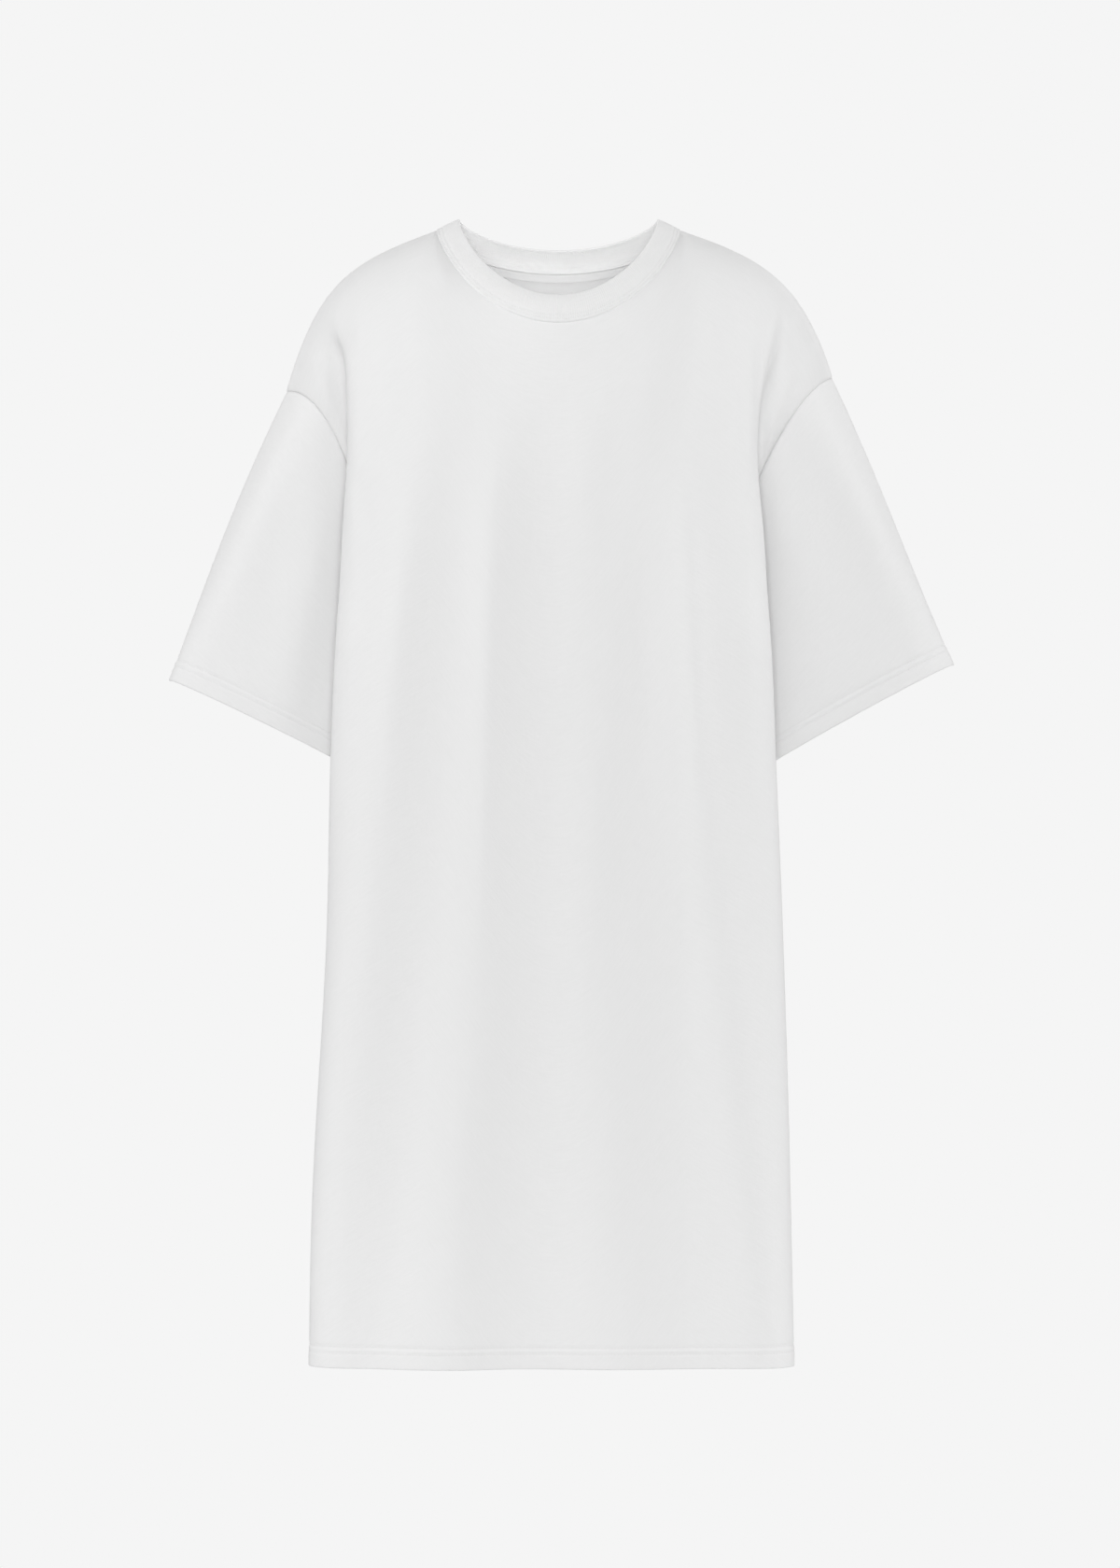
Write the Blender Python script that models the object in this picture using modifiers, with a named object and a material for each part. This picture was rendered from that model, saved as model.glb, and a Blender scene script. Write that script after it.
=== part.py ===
"""T-shirt dress, filled out with no wearer: front, back, two sleeves, a neck rib and a back neck tape.

Metres, +Z up, the front faces -Y. The origin is midway between the two sides of the neck, where
the shoulders hold the dress. Every panel is a thin wall lofted through sections of the garment.
"""

import math

import bpy
import numpy as np

# Cloth
JERSEY = 0.0015
HEM_CLOTH = 0.0023
RIB_CLOTH = 0.0022
TAPE_CLOTH = 0.0010
SEAM_GAP = 0.0003
SEAM_BAND = 0.0022

# Neckline, as its seam on the body and as the top edge of the rib
NECK_SEAM = {"half_width": 0.117, "side_y": 0.004, "side_z": -0.010}
NECK_SEAM_FRONT = {"y": -0.092, "z": -0.106, "ease": 1.40}
NECK_SEAM_BACK = {"y": 0.072, "z": -0.0455, "ease": 1.30}
RIB_TOP = {"half_width": 0.0965, "side_y": 0.008, "side_z": 0.000}
RIB_TOP_FRONT = {"y": -0.079, "z": -0.080, "ease": 1.36}
RIB_TOP_BACK = {"y": 0.062, "z": -0.025, "ease": 1.45}
RIB_BULGE = 0.0020
TAPE_WIDTH = 0.008
TAPE_COLUMNS = 5

# Body below the arms: one row for each height, with the half width between the fold at each
# side, the sideways drift, the depth of front and back, and how far the side seam lies inside.
SECTION_COLUMNS = ("height", "half_width", "sway", "front", "back", "side_inset")
SECTIONS = (
    (-0.325, 0.2066, -0.0050, 0.112, 0.100, 0.030),
    (-0.430, 0.2135, -0.0045, 0.112, 0.101, 0.049),
    (-0.535, 0.2178, -0.0046, 0.110, 0.101, 0.054),
    (-0.700, 0.2221, -0.0028, 0.105, 0.098, 0.046),
    (-0.900, 0.2268, -0.0029, 0.099, 0.094, 0.034),
    (-1.098, 0.2275, -0.0073, 0.094, 0.090, 0.024),
)
SQUARENESS = 5.6
INSET_START = 0.735
UNDERARM_HEIGHT = SECTIONS[0][0]
HEM_HEIGHT = SECTIONS[-1][0]
HEM_DEPTH = 0.019

# Where the columns of the cloth start on the top edge, as shares from the centre to the side
NECK_SHARE = 0.40
TIP_SHARE = 0.72

# Each side of the yoke, with x away from the centre. The shoulder line runs from the neck past
# line_1 and line_2 to the armhole's top. tip_lean is how far the fold below the shoulder's tip
# goes inwards, armhole_start how far the armhole's curve is pulled inwards, forwards and up as
# it leaves its top, as shares of its length, and the rest are the cuff's two ends and how far
# the sleeve's outer edge bows out.
YOKE_COLUMNS = (
    "sign", "line_1", "line_2", "armhole_top", "tip_lean", "armhole_start",
    "cuff_outer", "cuff_inner", "outer_bow",
)
YOKES = {
    "left": (
        -1, (0.202, -0.041), (0.232, -0.059), (0.263, -0.166), 0.20, (0.75, 1.20, 0.00),
        (0.375, -0.444), (0.184, -0.538), 0.0045,
    ),
    "right": (
        1, (0.202, -0.038), (0.236, -0.061), (0.265, -0.153), 0.45, (0.58, 1.10, -0.22),
        (0.381, -0.429), (0.190, -0.534), 0.0010,
    ),
}
SLEEVE_HALF_DEPTH = 0.034
CUFF_LIFT = 0.004
CUFF_HEM = 0.019

# Soft upright folds: where each ridge starts and meets the hem, how late it bends from one to the
# other, its height at the hem above the cloth beside it, half its spread at both ends, and the
# height where it starts.
FOLD_COLUMNS = ("top_x", "hem_x", "bend", "rise", "top_spread", "hem_spread", "start")
FRONT_FOLDS = (
    (-0.136, -0.245, 1.5, 0.0095, 0.022, 0.040, -0.150),
    (-0.057, -0.108, 1.7, 0.0135, 0.024, 0.050, -0.120),
    (0.026, 0.052, 4.0, 0.0080, 0.024, 0.050, -0.160),
    (0.106, 0.208, 1.6, 0.0090, 0.026, 0.040, -0.140),
)
BACK_FOLDS = (
    (-0.150, -0.222, 1.4, 0.0090, 0.026, 0.042, -0.170),
    (-0.066, -0.088, 1.2, 0.0120, 0.028, 0.050, -0.190),
    (0.030, 0.060, 2.0, 0.0095, 0.024, 0.050, -0.150),
    (0.122, 0.196, 1.5, 0.0100, 0.026, 0.042, -0.180),
)
VALLEY_DEPTH = 0.012
VALLEY_CENTRE = 0.86
VALLEY_SPREAD = 0.070

# Soft folds of each sleeve: where round the sleeve, its height, half its spread, all in turns
SLEEVE_FOLD_COLUMNS = ("turn", "rise", "spread")
SLEEVE_FOLDS = (
    (0.10, 0.0050, 0.05),
    (0.27, 0.0040, 0.06),
    (0.66, 0.0050, 0.06),
    (0.86, 0.0045, 0.05),
)

COLOURS = {
    "jersey": (0.83, 0.83, 0.83, 1.0),
    "rib": (0.82, 0.82, 0.82, 1.0),
}

NECK_COLUMNS = 7
SHOULDER_COLUMNS = 4
SIDE_COLUMNS = 6
YOKE_ROWS = 12
BODY_ROWS = 14
SLEEVE_ROWS = 11
RIB_ROWS = 4


def smooth(value):
    """0 below 0, 1 above 1, and an even ease in between."""
    value = np.clip(value, 0.0, 1.0)
    return value * value * (3.0 - 2.0 * value)


def unit(vectors):
    return vectors / np.maximum(np.linalg.norm(vectors, axis=-1, keepdims=True), 1e-9)


def hermite(start, start_pull, end, end_pull, t):
    """The cubic from start to end that leaves and arrives along the two pulls."""
    return (
        (2 * t**3 - 3 * t**2 + 1) * start
        + (t**3 - 2 * t**2 + t) * start_pull
        + (3 * t**2 - 2 * t**3) * end
        + (t**3 - t**2) * end_pull
    )


def section_value(name, height):
    """One column of SECTIONS at any height, on a smooth curve through its rows."""
    rows = np.array(SECTIONS)[::-1]
    heights, values = rows[:, 0], rows[:, SECTION_COLUMNS.index(name)]
    slopes = np.gradient(values, heights)
    height = np.clip(height, heights[0], heights[-1])
    low = np.clip(np.searchsorted(heights, height, side="right") - 1, 0, len(heights) - 2)
    step = heights[low + 1] - heights[low]
    t = (height - heights[low]) / step
    return hermite(values[low], slopes[low] * step, values[low + 1], slopes[low + 1] * step, t)


def quarter_section():
    """A quarter of the body's section as shares of width and depth, even along the cloth."""
    turn = np.linspace(0.0, math.pi / 2, 1200)
    across = np.sin(turn) ** (2 / SQUARENESS)
    deep = np.cos(turn) ** (2 / SQUARENESS)
    steps = np.hypot(np.diff(across) * 0.215, np.diff(deep) * 0.105)
    along = np.concatenate([[0.0], np.cumsum(steps)])
    return along / along[-1], across, deep


QUARTER = quarter_section()


def body_point(sign, facing, share, height):
    """A point below the arms. share runs from the centre, 0, to the side seam, 1."""
    across = np.interp(share, QUARTER[0], QUARTER[1])
    deep = np.interp(share, QUARTER[0], QUARTER[2])
    inset = smooth((share - INSET_START) / (1 - INSET_START)) * section_value("side_inset", height)
    x = section_value("sway", height) + sign * (section_value("half_width", height) * across - inset)
    depth = section_value("front" if facing < 0 else "back", height)
    return np.stack([x, facing * depth * deep, height + 0 * x], axis=-1)


def neck_point(base, low, turn):
    """A point of a neckline at turn, from 0 at the centre to a quarter turn at the side."""
    return np.stack(
        [
            base["half_width"] * np.sin(turn),
            base["side_y"] + (low["y"] - base["side_y"]) * np.cos(turn),
            base["side_z"] + (low["z"] - base["side_z"]) * np.cos(turn) ** low["ease"],
        ],
        axis=-1,
    )


def shoulder_point(yoke, t):
    """A point of the shoulder line, from the neck at 0 to the top of the armhole at 1."""
    neck = (NECK_SEAM["half_width"], NECK_SEAM["side_z"])
    weights = np.stack([(1 - t) ** 3, 3 * t * (1 - t) ** 2, 3 * t**2 * (1 - t), t**3], axis=-1)
    flat = weights @ np.array([neck, yoke["line_1"], yoke["line_2"], yoke["armhole_top"]])
    y = NECK_SEAM["side_y"] * (1 - t)
    return np.stack([yoke["sign"] * flat[..., 0], y, flat[..., 1]], axis=-1)


def top_edge(yoke, facing, share):
    """The top edge of a panel: its neckline, then its shoulder seam."""
    low = NECK_SEAM_FRONT if facing < 0 else NECK_SEAM_BACK
    turn = np.clip(share / NECK_SHARE, 0, 1) * math.pi / 2
    neck = neck_point(NECK_SEAM, low, turn) * [yoke["sign"], 1, 1]
    line = shoulder_point(yoke, np.clip((share - NECK_SHARE) / (1 - NECK_SHARE), 0, 1))
    return np.where((share <= NECK_SHARE)[:, None], neck, line)


def eased_between(share, stations):
    """Vectors given at a few shares, eased from one to the next."""
    result = np.zeros((len(share), 3))
    for (low, first), (high, second) in zip(stations, stations[1:]):
        inside = (share >= low) & (share <= high)
        t = smooth((share[inside] - low) / (high - low))[:, None]
        result[inside] = np.array(first) * (1 - t) + np.array(second) * t
    return result


def top_direction(yoke, facing, share):
    """How the columns leave the top edge: down the chest, over the shoulder, along the armhole."""
    inward = -yoke["sign"]
    along, forward, up = yoke["armhole_start"]
    chest = (0.0, facing * 0.24, -0.97) if facing < 0 else (0.0, facing * 0.30, -0.95)
    return eased_between(
        share,
        (
            (0.0, chest),
            (NECK_SHARE, (-inward * 0.30, facing * 0.85, -0.45)),
            (TIP_SHARE, (inward * yoke["tip_lean"] * 0.9, facing * 0.90, -0.32)),
            (1.0, (inward * along, facing * forward, up)),
        ),
    )


def evenly_cut(curve, first_cuts, count):
    """Points of a curve at first_cuts along it, in metres, then count more, evenly to its end."""
    steps = np.linalg.norm(np.diff(curve, axis=0), axis=-1)
    along = np.concatenate([np.zeros((1,) + steps.shape[1:]), np.cumsum(steps, axis=0)])
    result = np.zeros((len(first_cuts) + count,) + curve.shape[1:])
    for column in range(curve.shape[1]):
        rest = np.linspace(first_cuts[-1], along[-1, column], count + 1)[1:]
        at = np.concatenate([first_cuts, rest])
        for axis in range(3):
            result[:, column, axis] = np.interp(at, along[:, column], curve[:, column, axis])
    return result


def half_panel(side, facing, shares, top_cuts, yoke_rows, body_heights):
    """Points of half a panel, as rows from the top edge to the hem, columns from centre to side."""
    yoke = dict(zip(YOKE_COLUMNS, YOKES[side]))
    sign = yoke["sign"]
    start = top_edge(yoke, facing, shares)
    end = body_point(sign, facing, shares, np.full(shares.shape, UNDERARM_HEIGHT))
    below = body_point(sign, facing, shares, np.full(shares.shape, UNDERARM_HEIGHT - 0.02))
    length = np.linalg.norm(end - start, axis=1, keepdims=True)
    to_side = smooth((shares - 0.78) / 0.22)[:, None] ** 3
    arrive = unit(below - end) * (1 - to_side) + np.array([-sign * 0.10, -facing * 0.44, -0.88]) * to_side
    fine = np.linspace(0.0, 1.0, 80)
    leave = top_direction(yoke, facing, shares)
    curve = np.array([hermite(start, leave * length, end, arrive * length, t) for t in fine])
    upper = evenly_cut(curve, top_cuts, yoke_rows)
    shoulder = shares >= NECK_SHARE
    upper[1, shoulder] = upper[0, shoulder] + np.array([0.0, facing * top_cuts[1], 0.0])
    lower = [body_point(sign, facing, shares, np.full(shares.shape, z)) for z in body_heights]
    return np.concatenate([upper, np.array(lower)])


def grid_normals(grid, closed=False):
    """Unit normals of a grid of points. closed joins the last column to the first."""
    if closed:
        wide = np.concatenate([grid[:, -1:], grid, grid[:, :1]], axis=1)
        across = np.gradient(wide, axis=1)[:, 1:-1]
    else:
        across = np.gradient(grid, axis=1)
    return unit(np.cross(np.gradient(grid, axis=0), across))


def fold_rise(grid, folds):
    """How far the folds lift each point of a panel."""
    x, z = grid[..., 0], grid[..., 2]
    rise = np.zeros(x.shape)
    for row in folds:
        fold = dict(zip(FOLD_COLUMNS, row))
        down = np.clip((fold["start"] - z) / (fold["start"] - HEM_HEIGHT), 0, 1)
        centre = fold["top_x"] + (fold["hem_x"] - fold["top_x"]) * down ** fold["bend"]
        spread = fold["top_spread"] + (fold["hem_spread"] - fold["top_spread"]) * down
        grown = smooth((fold["start"] - z) / 0.22) * (0.50 + 0.50 * down)
        rise += fold["rise"] * grown * np.exp(-(((x - centre) / spread) ** 2))
    return rise


def valley_fall(side_share, grid):
    """How far the cloth between body and sleeve falls inwards, below the shoulder's tip."""
    from_top = np.linalg.norm(grid - grid[:1], axis=2)
    across = np.exp(-(((side_share - VALLEY_CENTRE) / VALLEY_SPREAD) ** 2))
    height = grid[..., 2]
    down = smooth((-0.075 - height) / 0.09) * smooth((height - UNDERARM_HEIGHT) / 0.12)
    return VALLEY_DEPTH * down * across[None, :] * smooth((from_top - 0.010) / 0.050)


def softened(grid, side_share, rounds=6):
    """The yoke with the crease that the corner of the neckline leaves smoothed across its columns."""
    from_top = np.linalg.norm(grid - grid[:1], axis=2)
    weight = smooth((from_top - 0.012) / 0.06) * smooth((grid[..., 2] + 0.42) / 0.10)
    weight = (weight * (1 - smooth((side_share - 0.66) / 0.12)))[..., None]
    for _ in range(rounds):
        mean = (grid[:, :-2] + 2 * grid[:, 1:-1] + grid[:, 2:]) / 4
        grid[:, 1:-1] += (mean - grid[:, 1:-1]) * weight[:, 1:-1]
    return grid


def panel(facing, shares, top_cuts, yoke_rows, body_heights):
    """The outer surface of the front or the back, columns from left to right."""
    halves = [half_panel(side, facing, shares, top_cuts, yoke_rows, body_heights) for side in YOKES]
    grid = np.concatenate([halves[0][:, ::-1], halves[1][:, 1:]], axis=1)
    side_share = np.concatenate([shares[::-1], shares[1:]])
    grid = softened(grid, side_share)
    normals = grid_normals(grid) * (1 if facing < 0 else -1)
    folds = FRONT_FOLDS if facing < 0 else BACK_FOLDS
    lift = fold_rise(grid, folds) - valley_fall(side_share, grid)
    return grid + normals * (lift * smooth((1 - side_share) / 0.10))[..., None]


def cuff_loop(yoke, turn):
    """The sleeve's open end, from its outer end at 0 round the front to its inner end at half a turn."""
    sign = yoke["sign"]
    outer = np.array([sign * yoke["cuff_outer"][0], 0.0, yoke["cuff_outer"][1]])
    inner = np.array([sign * yoke["cuff_inner"][0], 0.0, yoke["cuff_inner"][1]])
    centre, half = (outer + inner) / 2, (inner - outer) / 2
    axis = unit(np.array([sign * -half[2], 0.0, sign * half[0]]))
    loop = centre - half * np.cos(turn)[:, None] - axis * (CUFF_LIFT * np.abs(np.sin(turn)))[:, None]
    loop[:, 1] -= SLEEVE_HALF_DEPTH * np.sin(turn)
    return loop, axis


def sleeve_grid(side, armhole, rows):
    """A sleeve's outer surface, from the armhole's loop to the cuff's."""
    yoke = dict(zip(YOKE_COLUMNS, YOKES[side]))
    closed = np.concatenate([armhole, armhole[:1]])
    along = np.concatenate([[0.0], np.cumsum(np.linalg.norm(np.diff(closed, axis=0), axis=1))])
    turns = along[:-1] / along[-1]
    cuff, axis = cuff_loop(yoke, turns * 2 * math.pi)
    reach = np.linalg.norm(cuff - armhole, axis=1, keepdims=True)
    way = unit(0.65 * unit(cuff - armhole) + 0.35 * axis)
    grid = np.array([hermite(armhole, way * reach, cuff, way * reach, t) for t in rows])
    bow = yoke["outer_bow"] * np.sin(math.pi * rows)[:, None] * (0.5 + 0.5 * np.cos(turns * 2 * math.pi)) ** 2
    grid[..., 0] += yoke["sign"] * bow
    normals = grid_normals(grid, closed=True) * (1 if side == "left" else -1)
    rise = np.zeros(len(turns))
    for row in SLEEVE_FOLDS:
        fold = dict(zip(SLEEVE_FOLD_COLUMNS, row))
        rise += fold["rise"] * np.exp(-(((turns - fold["turn"]) / fold["spread"]) ** 2))
    grown = np.sin(math.pi * rows**0.8)
    return grid + normals * (grown[:, None] * rise[None, :])[..., None]


def meet(first, first_at, second, second_at, flat=1.0, outward=None):
    """Makes two edges meet with the seam's gap between them.

    Each at is a pair of index tuples, the points on the edge and the points beside them. Where
    flat is 1 both pieces lie in one plane beside their seam. Where it is 0 they keep a crease,
    and the second piece lies outward of the first.
    """
    edge = (first[first_at[0]] + second[second_at[0]]) / 2
    one = unit(first[first_at[1]] - edge)
    other = unit(second[second_at[1]] - edge)
    flat = np.reshape(flat, (-1, 1))
    level = unit(one - other)
    across = level if outward is None else unit(level * flat - outward * 1.5 * (1 - flat))
    first[first_at[0]] = edge + across * SEAM_GAP / 2
    second[second_at[0]] = edge - across * SEAM_GAP / 2
    first[first_at[1]] = first[first_at[0]] + unit(level * flat + one * (1 - flat)) * SEAM_BAND
    second[second_at[1]] = second[second_at[0]] + unit(-level * flat + other * (1 - flat)) * SEAM_BAND


def shift_corner(grid, at, ways):
    """Moves one point by the seam's gap along each of the ways."""
    for way in ways:
        grid[at] = grid[at] + unit(np.array(way)) * SEAM_GAP * 0.6


def rib_grid(turns, rows):
    """The neck rib's outer surface, from its seam to its top edge, round from the front's centre."""
    sine, cosine = np.sin(turns), np.cos(turns)
    from_centre = np.arctan2(np.abs(sine), np.abs(cosine))
    mirror = np.stack([np.sign(sine + 1e-9), np.ones(len(turns)), np.ones(len(turns))], axis=-1)
    is_front = (cosine >= -1e-9)[:, None]
    loops = []
    for base, front, back in (
        (NECK_SEAM, NECK_SEAM_FRONT, NECK_SEAM_BACK),
        (RIB_TOP, RIB_TOP_FRONT, RIB_TOP_BACK),
    ):
        loop = np.where(is_front, neck_point(base, front, from_centre), neck_point(base, back, from_centre))
        loops.append(loop * mirror)
    seam, top = loops
    outward = (unit(seam * [1, 1, 0]) + [0, 0, 0.6]) * (0.15 + 0.85 * cosine**2)[:, None]
    return np.array([seam + (top - seam) * t + outward * RIB_BULGE * 4 * t * (1 - t) for t in rows])


def mesh_object(name, grid, collection, material, closed=False, flip=False):
    """An object from a grid of points, smooth shaded."""
    rows, columns = grid.shape[:2]
    faces = []
    for i in range(rows - 1):
        for j in range(columns if closed else columns - 1):
            a, b = i * columns + j, i * columns + (j + 1) % columns
            corner = (a, b, b + columns, a + columns)
            faces.append(corner if flip else corner[::-1])
    mesh = bpy.data.meshes.new(name)
    mesh.from_pydata([tuple(p) for p in grid.reshape(-1, 3)], [], faces)
    mesh.materials.append(material)
    mesh.shade_smooth()
    obj = bpy.data.objects.new(name, mesh)
    collection.objects.link(obj)
    return obj


def thicken(obj, thickness, thin=None, thick_points=()):
    """Gives the surface its wall, inwards. With thin, only thick_points have the full thickness."""
    wall = obj.modifiers.new("wall", "SOLIDIFY")
    wall.thickness = thickness
    wall.offset = -1.0
    if thin is not None:
        group = obj.vertex_groups.new(name="hem")
        group.add([int(i) for i in thick_points], 1.0, "REPLACE")
        wall.vertex_group = group.name
        wall.thickness_vertex_group = thin / thickness


def make_material(name, colour):
    material = bpy.data.materials.new(name)
    material.use_nodes = True
    surface = material.node_tree.nodes["Principled BSDF"]
    surface.inputs["Base Color"].default_value = colour
    surface.inputs["Roughness"].default_value = 0.9
    surface.inputs["Metallic"].default_value = 0.0
    return material


def panel_shares():
    """Places of the columns from the centre to the side, with a narrow one beside the side seam."""
    neck = np.linspace(0.0, NECK_SHARE, NECK_COLUMNS + 1)
    shoulder = np.linspace(NECK_SHARE, 0.64, SHOULDER_COLUMNS + 1)[1:]
    side = np.linspace(0.64, 1.0, SIDE_COLUMNS + 1)[1:-1]
    return np.concatenate([neck, shoulder, side, [0.992, 1.0]])


def body_levels():
    """Heights of the rows below the arms, with the hem's turned edge."""
    even = np.linspace(UNDERARM_HEIGHT, HEM_HEIGHT + HEM_DEPTH + 0.002, BODY_ROWS + 1)[1:]
    return np.concatenate([even, [HEM_HEIGHT + HEM_DEPTH, HEM_HEIGHT]])


def build_surfaces():
    """The outer surface of every piece, with the seams between them left open by the gap."""
    shares = panel_shares()
    top_cuts = np.array([0.0, SEAM_BAND, SEAM_BAND + TAPE_WIDTH])
    yoke_count = len(top_cuts) + YOKE_ROWS
    front = panel(-1, shares, top_cuts, YOKE_ROWS, body_levels())
    back = panel(1, shares, top_cuts, YOKE_ROWS, body_levels())
    half = len(shares) - 1
    grids = {"front": front, "back": back}

    rows = np.concatenate([[0.0, 0.008], np.linspace(0.008, 0.93, SLEEVE_ROWS)[1:], [0.936, 1.0]])
    corner = yoke_count - 1
    for side, sign, edge, beside in (("left", -1, 0, 1), ("right", 1, -1, -2)):
        armhole = np.concatenate([front[:yoke_count, edge], back[yoke_count - 2 : 0 : -1, edge]])
        sleeve = sleeve_grid(side, armhole, rows)
        grids["sleeve_" + side] = sleeve
        top, underarm = armhole[0].copy(), armhole[corner].copy()
        shoulder_way = unit(front[0, beside] - top)
        count = len(armhole)
        down = np.arange(1, corner)
        flat = 1 - smooth((down / corner - 0.35) / 0.35)
        outward = grid_normals(front)[down, edge]
        meet(front, ((down, edge), (down, beside)), sleeve, ((0, down), (1, down)), flat, outward)
        up = count - down
        outward = -grid_normals(back)[down, edge]
        meet(back, ((down, edge), (down, beside)), sleeve, ((0, up), (1, up)), flat, outward)
        below = np.arange(corner, len(front))
        meet(front, ((below, edge), (below, beside)), back, ((below, edge), (below, beside)))
        drop = unit(sleeve[2, corner] - underarm)
        sleeve[0, corner] = underarm + np.array([sign * 0.0008, 0.0, 0.0])
        sleeve[1, corner] = sleeve[0, corner] + drop * SEAM_BAND
        fall = unit(sleeve[2, 0] - top)
        sleeve[0, 0] = top + fall * SEAM_GAP / 2
        sleeve[1, 0] = top + fall * SEAM_BAND
        shift_corner(front, (0, edge), [(0, -1, 0), shoulder_way])
        shift_corner(back, (0, edge), [(0, 1, 0), shoulder_way])

    shoulder = np.arange(NECK_COLUMNS + 1, half)
    for columns in (half - shoulder, half + shoulder):
        meet(front, ((0, columns), (1, columns)), back, ((0, columns), (1, columns)))

    quarter = NECK_COLUMNS
    turns = np.linspace(0, 2 * math.pi, 4 * quarter, endpoint=False)
    rib = rib_grid(turns, np.concatenate([[0.0, 0.08], np.linspace(0.08, 1.0, RIB_ROWS)[1:]]))
    grids["neck_rib"] = rib
    across = np.arange(1 - quarter, quarter)
    meet(front, ((0, half + across), (1, half + across)), rib, ((0, across), (1, across)))
    around = 2 * quarter - across
    meet(back, ((0, half + across), (1, half + across)), rib, ((0, around), (1, around)))
    for sign, i in ((1, quarter), (-1, 3 * quarter)):
        outward = (sign, 0, -0.36)
        rise = unit(rib[2, i] - rib[0, i])
        rib[0, i] = rib[0, i] + rise * SEAM_GAP / 2
        rib[1, i] = rib[0, i] + rise * SEAM_BAND
        for grid, facing in ((front, -1), (back, 1)):
            shift_corner(grid, (0, half + sign * quarter), [(0, facing, 0), outward])
    grids["neck_tape"] = tape_grid(back, half)
    return grids


def tape_grid(back, half):
    """The neck tape's outer surface: two rows of the back beside its neck seam, moved inside."""
    columns = np.arange(half - TAPE_COLUMNS, half + TAPE_COLUMNS + 1)
    inwards = grid_normals(back)[1:3, columns]
    return back[1:3, columns] + inwards * (JERSEY + SEAM_GAP)


def main():
    for obj in list(bpy.data.objects):
        bpy.data.objects.remove(obj)
    dress = bpy.data.collections.new("tshirt_dress")
    bpy.context.scene.collection.children.link(dress)
    jersey = make_material("jersey", COLOURS["jersey"])
    ribbed = make_material("rib", COLOURS["rib"])
    for name, grid in build_surfaces().items():
        closed = name.startswith("sleeve") or name == "neck_rib"
        flip = name in ("back", "sleeve_right", "neck_rib", "neck_tape")
        material = ribbed if name == "neck_rib" else jersey
        obj = mesh_object(name, grid, dress, material, closed=closed, flip=flip)
        if name == "neck_rib":
            thicken(obj, RIB_CLOTH)
        elif name == "neck_tape":
            thicken(obj, TAPE_CLOTH)
        else:
            columns = grid.shape[1]
            thicken(obj, HEM_CLOTH, JERSEY, range((len(grid) - 2) * columns, len(grid) * columns))


main()
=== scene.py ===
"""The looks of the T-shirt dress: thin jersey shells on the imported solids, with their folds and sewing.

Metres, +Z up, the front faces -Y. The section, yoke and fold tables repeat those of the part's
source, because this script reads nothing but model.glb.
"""

import math

import bmesh
import bpy
import numpy as np
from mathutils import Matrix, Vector


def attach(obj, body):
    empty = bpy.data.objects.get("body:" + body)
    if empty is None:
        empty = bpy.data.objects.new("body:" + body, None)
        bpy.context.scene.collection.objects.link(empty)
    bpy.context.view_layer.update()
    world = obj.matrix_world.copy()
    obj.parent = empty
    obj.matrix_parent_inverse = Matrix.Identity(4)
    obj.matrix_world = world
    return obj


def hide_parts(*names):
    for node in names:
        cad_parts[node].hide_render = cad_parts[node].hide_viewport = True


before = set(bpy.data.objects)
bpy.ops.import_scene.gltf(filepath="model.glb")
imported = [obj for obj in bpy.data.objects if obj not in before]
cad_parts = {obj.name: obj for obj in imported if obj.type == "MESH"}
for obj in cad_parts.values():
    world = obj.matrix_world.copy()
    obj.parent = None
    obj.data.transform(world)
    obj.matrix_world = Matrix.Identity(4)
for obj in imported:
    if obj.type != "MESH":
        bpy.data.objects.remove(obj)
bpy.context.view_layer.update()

# Thickness of the cloth, and how deep its seams lie
JERSEY = 0.0010
HEM_CLOTH = 0.0021
RIB_CLOTH = 0.0021
RIB_EDGE_CLOTH = 0.0026
TAPE_CLOTH = 0.0009
SHOULDER_DIP = 0.0008
NECK_DIP = 0.0004
DIP_BLEND = 0.03
ARMHOLE_DIP = 0.0006

# Neckline, as its seam on the body and as the top edge of the rib
NECK_SEAM = {"half_width": 0.117, "side_y": 0.004, "side_z": -0.010}
NECK_SEAM_FRONT = {"y": -0.092, "z": -0.106, "ease": 1.40}
NECK_SEAM_BACK = {"y": 0.072, "z": -0.0455, "ease": 1.30}
RIB_TOP = {"half_width": 0.0965, "side_y": 0.008, "side_z": 0.000}
RIB_TOP_FRONT = {"y": -0.079, "z": -0.080, "ease": 1.36}
RIB_TOP_BACK = {"y": 0.062, "z": -0.025, "ease": 1.45}
RIB_BULGE = 0.0020
TAPE_WIDTH = 0.008
TAPE_HALF_LENGTH = 0.104

# Body below the arms, from the underarm to the hem
SECTION_COLUMNS = ("height", "half_width", "sway", "front", "back", "side_inset")
SECTIONS = (
    (-0.325, 0.2066, -0.0050, 0.112, 0.100, 0.030),
    (-0.430, 0.2135, -0.0045, 0.112, 0.101, 0.049),
    (-0.535, 0.2178, -0.0046, 0.110, 0.101, 0.054),
    (-0.700, 0.2221, -0.0028, 0.105, 0.098, 0.046),
    (-0.900, 0.2268, -0.0029, 0.099, 0.094, 0.034),
    (-1.098, 0.2275, -0.0073, 0.094, 0.090, 0.024),
)
SQUARENESS = 5.6
INSET_START = 0.735
UNDERARM_HEIGHT = SECTIONS[0][0]
HEM_HEIGHT = SECTIONS[-1][0]

# The size by which the section's columns are spaced evenly along the cloth
TYPICAL_HALF_WIDTH = 0.215
TYPICAL_DEPTH = 0.105

# Where the columns of the cloth start on the top edge, as shares from the centre to the side
NECK_SHARE = 0.40
TIP_SHARE = 0.72

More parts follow.
